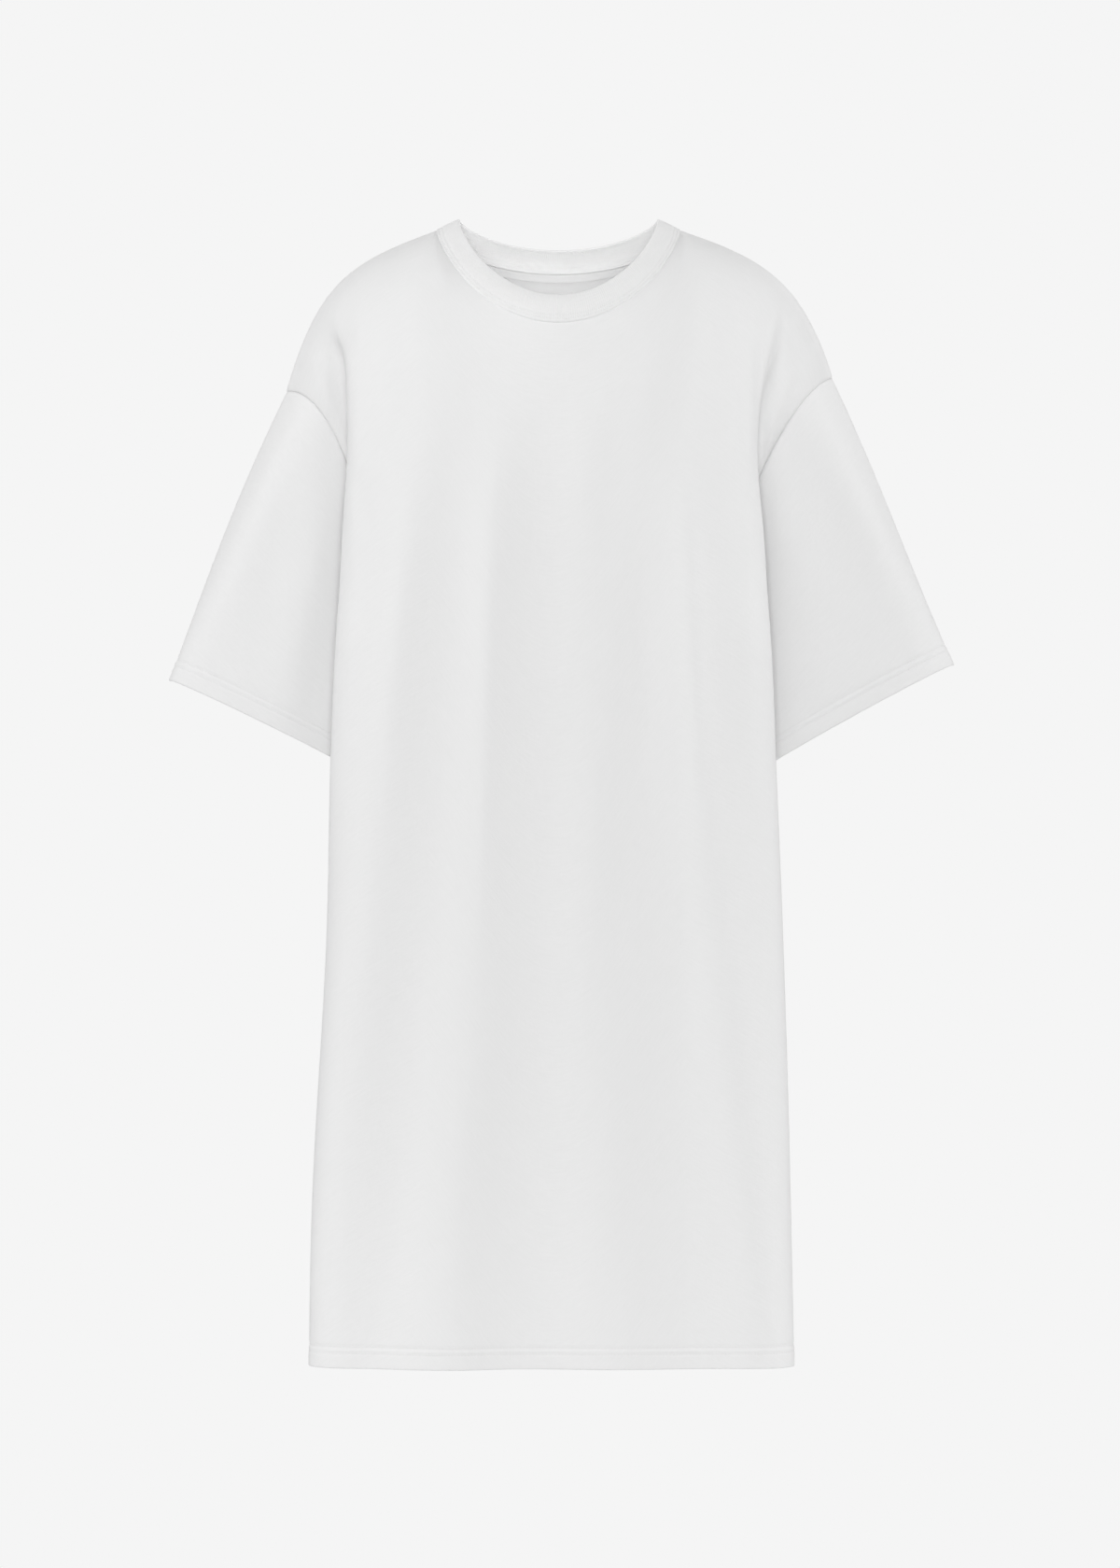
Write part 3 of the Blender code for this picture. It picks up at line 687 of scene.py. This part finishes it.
def shell(name, outer, normals, thickness, material, wrap=False, cloth=None):
    """A closed sheet of cloth: its outer surface, a rounded lower edge, and its inner surface.

    Rows run to the rounded edge. wrap joins the last column to the first. cloth holds each
    point's place across and down the flat cloth, which the knit follows.
    """
    rows, columns = outer.shape[:2]
    thickness = np.broadcast_to(thickness, (rows, columns))[..., None]
    inner = outer - normals * thickness
    beyond = unit(outer[-1] - outer[-2])
    middle = (outer[-1] + inner[-1]) / 2
    half = thickness[-1] / 2
    turned = [
        middle + normals[-1] * half * math.cos(a) + beyond * half * math.sin(a)
        for a in np.radians(EDGE_TURNS)
    ]
    loop = np.concatenate([outer, np.array(turned), inner[::-1]])
    count = len(loop)
    faces = []
    for i in range(count):
        row, below = i * columns, (i + 1) % count * columns
        for j in range(columns if wrap else columns - 1):
            beside = (j + 1) % columns
            faces.append((row + j, below + j, below + beside, row + beside))
    if not wrap:
        last = columns - 1
        for i in range(rows + 1):
            a, b = i, i + 1
            c, d = (count - 1 - b) % count, (count - 1 - a) % count
            if b >= c:
                break
            faces.append((a * columns, d * columns, c * columns, b * columns))
            faces.append((a * columns + last, b * columns + last, c * columns + last, d * columns + last))
    mesh = bpy.data.meshes.new(name)
    mesh.from_pydata(loop.reshape(-1, 3).tolist(), [], faces)
    mesh.materials.append(material)
    mesh.shade_smooth()
    if cloth is not None:
        u, v = cloth
        edge_v = v[-1:] + np.array(EDGE_SHARES)[:, None] * half[None, :, 0] * EDGE_WAY
        all_u = np.concatenate([u, np.repeat(u[-1:], len(EDGE_SHARES), axis=0), u[::-1]])
        all_v = np.concatenate([v, edge_v, v[::-1]])
        places = np.stack([all_u, all_v, 0 * all_u], axis=-1).astype(np.float32)
        layer = mesh.attributes.new("cloth", "FLOAT_VECTOR", "POINT")
        layer.data.foreach_set("vector", places.ravel())
    piece = bpy.data.objects.new(name, mesh)
    bpy.context.scene.collection.objects.link(piece)
    mesh.validate()
    work = bmesh.new()
    work.from_mesh(mesh)
    bmesh.ops.recalc_face_normals(work, faces=work.faces)
    work.to_mesh(mesh)
    work.free()
    return piece


def line_at(grid, distance, edge_distance):
    """The line across a grid that lies edge_distance from an edge, where distance is measured."""
    line = np.zeros((grid.shape[1], 3))
    for column in range(grid.shape[1]):
        order = np.argsort(distance[:, column])
        along = distance[order, column]
        for axis in range(3):
            line[column, axis] = np.interp(edge_distance, along, grid[order, column, axis])
    return line


def stitch_line(points, normals, closed=False, inset=0.0):
    """Places, directions and normals of the stitches along a line of points."""
    if closed:
        points = np.concatenate([points, points[:1]])
        normals = np.concatenate([normals, normals[:1]])
    along = np.concatenate([[0.0], np.cumsum(np.linalg.norm(np.diff(points, axis=0), axis=1))])
    count = int((along[-1] - 2 * inset) / STITCH_PITCH)
    middles = inset + (np.arange(count) + 0.5) * (along[-1] - 2 * inset) / count

    def at(distance, values):
        return np.stack([np.interp(distance, along, values[:, i]) for i in range(3)], axis=-1)

    start = at(middles - STITCH_LENGTH / 2, points)
    end = at(middles + STITCH_LENGTH / 2, points)
    return start, end, unit(at(middles, normals))


def stitch_lines(grid, normals, distance, rows, closed=False, inset=0.0):
    """Lines of stitches across a grid, at the given distances from the edge."""
    lines = []
    for row in rows:
        line = line_at(grid, distance, row)
        line_normals = unit(line_at(normals, distance, row))
        lines.append(stitch_line(line, line_normals, closed, inset))
    return lines


def stitches(name, lines, material):
    """One piece with every stitch of the lines, each a short round thread that dips in at its ends."""
    sides = THREAD_SIDES
    last = len(STITCH_PROFILE) - 1
    turns = np.linspace(0, 2 * math.pi, sides, endpoint=False)
    vertices, faces = [], []
    for start, end, normal in lines:
        way = unit(end - start)
        beside = unit(np.cross(way, normal))
        for k in range(len(start)):
            base = len(vertices)
            for t, girth, lift in STITCH_PROFILE:
                centre = start[k] + (end[k] - start[k]) * t + normal[k] * THREAD_RADIUS * lift
                for turn in turns:
                    offset = beside[k] * math.cos(turn) + normal[k] * math.sin(turn)
                    vertices.append(tuple(centre + offset * THREAD_RADIUS * girth))
            for ring in range(last):
                for i in range(sides):
                    a, b = base + ring * sides + i, base + ring * sides + (i + 1) % sides
                    faces.append((a, b, b + sides, a + sides))
            faces.append(tuple(base + i for i in range(sides))[::-1])
            faces.append(tuple(base + last * sides + i for i in range(sides)))
    mesh = bpy.data.meshes.new(name)
    mesh.from_pydata(vertices, [], faces)
    mesh.materials.append(material)
    mesh.shade_smooth()
    piece = bpy.data.objects.new(name, mesh)
    bpy.context.scene.collection.objects.link(piece)
    return piece


def node(tree, kind, **inputs):
    made = tree.nodes.new(kind)
    for name, value in inputs.items():
        made.inputs[name.replace("_", " ")].default_value = value
    return made


def math_node(tree, operation, first, second=None):
    made = tree.nodes.new("ShaderNodeMath")
    made.operation = operation
    for i, value in enumerate((first, second)):
        if value is None:
            continue
        if isinstance(value, (int, float)):
            made.inputs[i].default_value = value
        else:
            tree.links.new(value, made.inputs[i])
    return made.outputs[0]


def weighted_sum(tree, parts):
    """The sum of the outputs, each multiplied by its weight."""
    total = None
    for output, weight in parts:
        part = math_node(tree, "MULTIPLY", output, weight)
        total = part if total is None else math_node(tree, "ADD", total, part)
    return total


def shaded(shade, factor):
    """A grey from 0 to 1, made darker or lighter, as an opaque colour."""
    grey = min(1.0, shade * factor)
    return (grey, grey, grey, 1.0)


def knit_material(name, colour, wale, course, relief, sheen):
    """Knitted cotton: rows of V-shaped stitches, uneven yarn, faint slubs and a soft nap.

    colour is a grey from 0 to 1. wale is the width of one stitch and course its height, in
    metres on the flat cloth.
    """
    material = bpy.data.materials.new(name)
    material.use_nodes = True
    tree = material.node_tree
    surface = tree.nodes["Principled BSDF"]
    place = tree.nodes.new("ShaderNodeAttribute")
    place.attribute_name = "cloth"
    split = tree.nodes.new("ShaderNodeSeparateXYZ")
    tree.links.new(place.outputs["Vector"], split.inputs[0])
    u, v = split.outputs[0], split.outputs[1]

    # Loops lean to both sides of each wale, and the wales stand up as ridges
    column = math_node(tree, "MULTIPLY", u, 2 * math.pi / wale)
    across = math_node(tree, "SINE", column)
    slant = math_node(tree, "MULTIPLY", math_node(tree, "ABSOLUTE", across), 1.3)
    row = math_node(tree, "ADD", math_node(tree, "MULTIPLY", v, 2 * math.pi / course), slant)
    loops = math_node(tree, "MULTIPLY", math_node(tree, "SINE", row), 0.5)
    ridges = math_node(tree, "MULTIPLY", math_node(tree, "ABSOLUTE", across), 0.9)
    knit = math_node(tree, "ADD", loops, ridges)

    # Uneven yarn is stretched along the rows, and mottling is even in both directions
    yarn = node(tree, "ShaderNodeTexNoise", Scale=1.0, Detail=3.0, Roughness=0.6)
    stretch = node(tree, "ShaderNodeMapping")
    stretch.inputs["Scale"].default_value = (55.0, 420.0, 1.0)
    tree.links.new(place.outputs["Vector"], stretch.inputs["Vector"])
    tree.links.new(stretch.outputs[0], yarn.inputs["Vector"])
    mottle = node(tree, "ShaderNodeTexNoise", Scale=1.0, Detail=4.0, Roughness=0.62)
    spots = node(tree, "ShaderNodeMapping")
    spots.inputs["Scale"].default_value = (260.0, 260.0, 1.0)
    tree.links.new(place.outputs["Vector"], spots.inputs["Vector"])
    tree.links.new(spots.outputs[0], mottle.inputs["Vector"])

    height = weighted_sum(tree, ((knit, 0.30), (yarn.outputs[0], 0.55), (mottle.outputs[0], 0.75)))
    bump = node(tree, "ShaderNodeBump", Strength=0.85, Distance=relief)
    tree.links.new(height, bump.inputs["Height"])
    tree.links.new(bump.outputs[0], surface.inputs["Normal"])

    # The colour: random tone from the uneven yarn and the mottling, and a faint painted shade from the
    # knit, darker in the hollows between the stitches and lighter on their ridges
    shade = node(tree, "ShaderNodeMix")
    shade.data_type = "RGBA"
    shade.inputs[6].default_value = shaded(colour, 0.955)
    shade.inputs[7].default_value = shaded(colour, 1.018)
    tone_and_stitch_shade = weighted_sum(tree, ((yarn.outputs[0], 0.75), (mottle.outputs[0], 0.45), (knit, 0.10)))
    tree.links.new(tone_and_stitch_shade, shade.inputs[0])
    tree.links.new(shade.outputs[2], surface.inputs["Base Color"])

    rough = math_node(tree, "ADD", math_node(tree, "MULTIPLY", mottle.outputs[0], 0.10), 0.82)
    tree.links.new(rough, surface.inputs["Roughness"])
    surface.inputs["Specular IOR Level"].default_value = 0.18
    surface.inputs["Sheen Weight"].default_value = sheen
    surface.inputs["Sheen Roughness"].default_value = 0.55
    return material


def thread_material(name, colour):
    """Polyester thread: two plies twisted round each other, a little glossier than the cloth."""
    material = bpy.data.materials.new(name)
    material.use_nodes = True
    tree = material.node_tree
    surface = tree.nodes["Principled BSDF"]
    place = tree.nodes.new("ShaderNodeTexCoord")
    twist = node(tree, "ShaderNodeTexWave", Scale=900.0, Distortion=1.5, Detail=1.0)
    twist.bands_direction = "DIAGONAL"
    tree.links.new(place.outputs["Object"], twist.inputs["Vector"])
    bump = node(tree, "ShaderNodeBump", Strength=0.6, Distance=0.0001)
    tree.links.new(twist.outputs["Fac"], bump.inputs["Height"])
    tree.links.new(bump.outputs[0], surface.inputs["Normal"])
    # Painted shade: the thread is darker in the grooves between its twisted plies, where the bump sinks,
    # and lighter on the plies
    shade = node(tree, "ShaderNodeMix")
    shade.data_type = "RGBA"
    shade.inputs[6].default_value = shaded(colour, 0.93)
    shade.inputs[7].default_value = shaded(colour, 1.0)
    tree.links.new(twist.outputs["Fac"], shade.inputs[0])
    tree.links.new(shade.outputs[2], surface.inputs["Base Color"])
    surface.inputs["Roughness"].default_value = 0.6
    surface.inputs["Specular IOR Level"].default_value = 0.3
    return material


# Greys of the cotton. The tape's is lower: painted shade, which offsets a hidden light that stands close
# to it.
COTTON = 0.800
RIB_COTTON = 0.795
TAPE_COTTON_PAINTED_DARKER = 0.750
jersey = knit_material("jersey_cotton", COTTON, 0.0011, 0.0009, relief=0.00022, sheen=0.10)
ribbed = knit_material("rib_cotton", RIB_COTTON, 0.0019, 0.0010, relief=0.00022, sheen=0.10)
tape_knit_painted_darker = knit_material("tape_cotton_painted_darker", TAPE_COTTON_PAINTED_DARKER, 0.0013, 0.0013, relief=0.00025, sheen=0.08)
thread = thread_material("thread", COTTON)

pieces = {}


def add_panels():
    """The front and the back. Returns their surfaces and the lines of stitches along their hem."""
    panels = {}
    hem_lines = []
    for name, facing in (("front", -1), ("back", 1)):
        grid, normals, u, v, from_hem = panel(facing, panel_shares())
        panels[name] = (grid, normals, u, v)
        wall = hemmed_wall(from_hem, HEM_STITCH_ROWS)
        pieces[name] = shell(name + "_jersey", grid, normals, wall, jersey, cloth=(u, v))
        hem_lines += stitch_lines(grid, normals, from_hem, HEM_STITCH_ROWS, inset=SIDE_SEAM_INSET)
    return panels, hem_lines


def add_sleeve(side, edge, panels):
    """One sleeve and the stitches of its cuff. edge is the panels' column along its armhole."""
    front, back = panels["front"][0], panels["back"][0]
    count = len(TOP_ROWS) + YOKE_ROWS
    armhole = np.concatenate([front[:count, edge], back[count - 2 : 0 : -1, edge]])
    rows = sleeve_levels()
    grid = sleeve_grid(side, armhole, rows)
    sign = 1 if side == "left" else -1
    normals = grid_normals(grid, closed=True) * sign
    wrapped = np.concatenate([grid, grid[:, :1]], axis=1)
    u = run_along(wrapped, 1)[:, :-1]
    u = u * (u[:, -1:].max() / u[:, -1:])
    v = run_along(grid, 0)
    from_cuff = v[-1:] - v

    seam_fade = 0.02
    waves = drape_waves(u, v, WAVE_SEEDS[side]) * np.sin(math.pi * rows)[:, None]
    waves = SLEEVE_WAVE_HEIGHT * waves * smooth(np.minimum(u, u[:, -1:] - u) / seam_fade)
    relief = hem_relief(from_cuff, CUFF_STITCH_ROWS, u) + waves - seam_dip(v, ARMHOLE_DIP)
    grid = grid + normals * relief[..., None]
    grid[0] = armhole
    normals = grid_normals(grid, closed=True) * sign

    name = "sleeve_" + side
    wall = hemmed_wall(from_cuff, CUFF_STITCH_ROWS)
    pieces[name] = shell(name + "_jersey", grid, normals, wall, jersey, wrap=True, cloth=(u, v))
    lines = stitch_lines(grid, normals, from_cuff, CUFF_STITCH_ROWS, closed=True)
    pieces[name + "_stitches"] = stitches("stitches_cuff_" + side, lines, thread)


def add_neck_rib():
    """The rib: real ridges, a seam edge that stands on the body, and a rounded fold at its top."""
    columns = int(RIB_ROUND / RIB_PITCH) * POINTS_PER_RIB
    turns = np.linspace(0, 2 * math.pi, columns, endpoint=False)
    lap = [-RIB_LAP, -RIB_LAP / 2]
    lower = np.linspace(0.0, RIB_SEWN_SHARE, RIB_LOWER_ROWS)
    upper = np.linspace(RIB_SEWN_SHARE, 1.0, RIB_UPPER_ROWS)[1:]
    rib = rib_grid(turns, np.concatenate([lap, lower, upper]))
    # The normals are kept free of the ridges, so that the inner face stays smooth
    normals = -grid_normals(rib, closed=True)
    v = run_along(rib, 0)
    v = v - v[len(lap) : len(lap) + 1]
    wrapped = np.concatenate([rib, rib[:, :1]], axis=1)
    u = run_along(wrapped, 1)[:1, :-1] + 0 * v

    ridge_fade, stand_start, stand_fade = 0.002, 0.0010, 0.0014
    round_ribs = np.cos(np.arange(columns) * 2 * math.pi / POINTS_PER_RIB)[None, :]
    ridge = RIDGE_HEIGHT * round_ribs * smooth(v / ridge_fade)
    sewn = np.zeros(v.shape)
    for row in RIB_STITCH_ROWS:
        sewn += seam_dip(v - row, RIB_GROOVE_DEPTH, RIB_GROOVE_WIDTH)
    stand = RIB_STAND * smooth((v + stand_start) / stand_fade)
    rib = rib + normals * (ridge - sewn + stand - RIB_SINK)[..., None]
    to_edge = smooth((v - RIB_EDGE_START) / RIB_EDGE_FADE)
    wall = RIB_CLOTH + (RIB_EDGE_CLOTH - RIB_CLOTH) * to_edge
    pieces["neck_rib"] = shell("neck_rib_knit", rib, normals, wall, ribbed, wrap=True, cloth=(u, v))
    lines = stitch_lines(rib, normals, v, RIB_STITCH_ROWS, closed=True)
    pieces["neck_stitches"] = stitches("stitches_neck", lines, thread)


def add_neck_tape(back):
    """The tape inside the back, just below the rib's seam, laid along the back's upper rows."""
    near = slice(0, BACK_ROWS_UNDER_TAPE)
    grid, normals, u, v = back
    columns = np.where(np.abs(u[0]) < TAPE_HALF_LENGTH)[0]
    cuts = np.linspace(TAPE_TOP, TAPE_TOP + TAPE_WIDTH, TAPE_ROWS)
    strip = np.zeros((len(cuts), len(columns), 3))
    strip_normals = np.zeros(strip.shape)
    for i, cut in enumerate(cuts):
        strip[i] = line_at(grid[near, columns], v[near, columns], cut)
        strip_normals[i] = unit(line_at(normals[near, columns], v[near, columns], cut))
    curl = TAPE_CURL * smooth((cuts - cuts[-1] + TAPE_CURL_WIDTH) / TAPE_CURL_WIDTH)[:, None, None]
    strip = strip - strip_normals * (JERSEY + TAPE_GAP + curl)
    tape_u = np.repeat(u[:1, columns], len(cuts), axis=0)
    tape_v = np.repeat(cuts[:, None], len(columns), axis=1)
    cloth = (tape_u, tape_v)
    pieces["neck_tape"] = shell("neck_tape_woven", strip, strip_normals, TAPE_CLOTH, tape_knit_painted_darker, cloth=cloth)


panels, hem_lines = add_panels()
add_sleeve("left", 0, panels)
add_sleeve("right", -1, panels)
pieces["hem_stitches"] = stitches("stitches_hem", hem_lines, thread)
add_neck_rib()
add_neck_tape(panels["back"])

for name in ("front", "back", "sleeve_left", "sleeve_right", "neck_rib", "neck_tape"):
    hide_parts(name)
for name, piece in pieces.items():
    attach(piece, "root")


def add_floor():
    """A pale round floor, far enough below the hem for the dress to hang free of it."""
    mesh = bpy.data.meshes.new("floor")
    ring = [
        (FLOOR_RADIUS * math.cos(a), FLOOR_RADIUS * math.sin(a), FLOOR_HEIGHT)
        for a in np.linspace(0, 2 * math.pi, FLOOR_SIDES, endpoint=False)
    ]
    mesh.from_pydata(ring, [], [tuple(range(len(ring)))])
    floor = bpy.data.objects.new("floor", mesh)
    bpy.context.scene.collection.objects.link(floor)
    material = bpy.data.materials.new("pale_floor")
    material.use_nodes = True
    surface = material.node_tree.nodes["Principled BSDF"]
    surface.inputs["Base Color"].default_value = (0.86, 0.86, 0.86, 1.0)
    surface.inputs["Roughness"].default_value = 0.9
    mesh.materials.append(material)


def add_room():
    """An even room: it lights the dress, and the camera sees the pale ground in its place."""
    world = bpy.data.worlds.new("studio")
    bpy.context.scene.world = world
    world.use_nodes = True
    tree = world.node_tree
    room_light = tree.nodes["Background"]
    room_light.inputs["Color"].default_value = (1.0, 1.0, 1.0, 1.0)
    room_light.inputs["Strength"].default_value = ROOM_STRENGTH
    ground = tree.nodes.new("ShaderNodeBackground")
    ground.inputs["Color"].default_value = (GROUND_SHADE, GROUND_SHADE, GROUND_SHADE, 1.0)
    ray = tree.nodes.new("ShaderNodeLightPath")
    choose = tree.nodes.new("ShaderNodeMixShader")
    tree.links.new(ray.outputs["Is Camera Ray"], choose.inputs[0])
    tree.links.new(room_light.outputs[0], choose.inputs[1])
    tree.links.new(ground.outputs[0], choose.inputs[2])
    tree.links.new(choose.outputs[0], tree.nodes["World Output"].inputs[0])


def soft_light(name, place, aim, size, power):
    """A square light that the camera doesn't see."""
    light = bpy.data.lights.new(name, "AREA")
    light.shape = "SQUARE"
    light.size = size
    light.energy = power
    lamp = bpy.data.objects.new(name, light)
    lamp.location = place
    lamp.rotation_euler = (Vector(aim) - Vector(place)).to_track_quat("-Z", "Y").to_euler()
    lamp.visible_camera = False
    bpy.context.scene.collection.objects.link(lamp)


def add_camera():
    """The camera, straight in front, at the distance where a pixel is PIXEL wide at the dress."""
    camera_data = bpy.data.cameras.new("camera")
    camera_data.lens = LENS
    camera_data.sensor_width = SENSOR
    camera = bpy.data.objects.new("camera", camera_data)
    distance = LENS / SENSOR * PHOTO_HEIGHT * PIXEL
    camera.location = (CAMERA_X, -distance, CAMERA_Z)
    camera.rotation_euler = (math.pi / 2, 0.0, 0.0)
    bpy.context.scene.collection.objects.link(camera)
    bpy.context.scene.camera = camera
    bpy.context.scene.view_settings.view_transform = "Standard"


add_floor()
add_room()
for name, place, size, power in LIGHTS:
    soft_light(name, place, LIGHT_AIM, size, power)
for name, place, aim, size, power in INNER_LIGHTS:
    soft_light(name, place, aim, size, power)
add_camera()
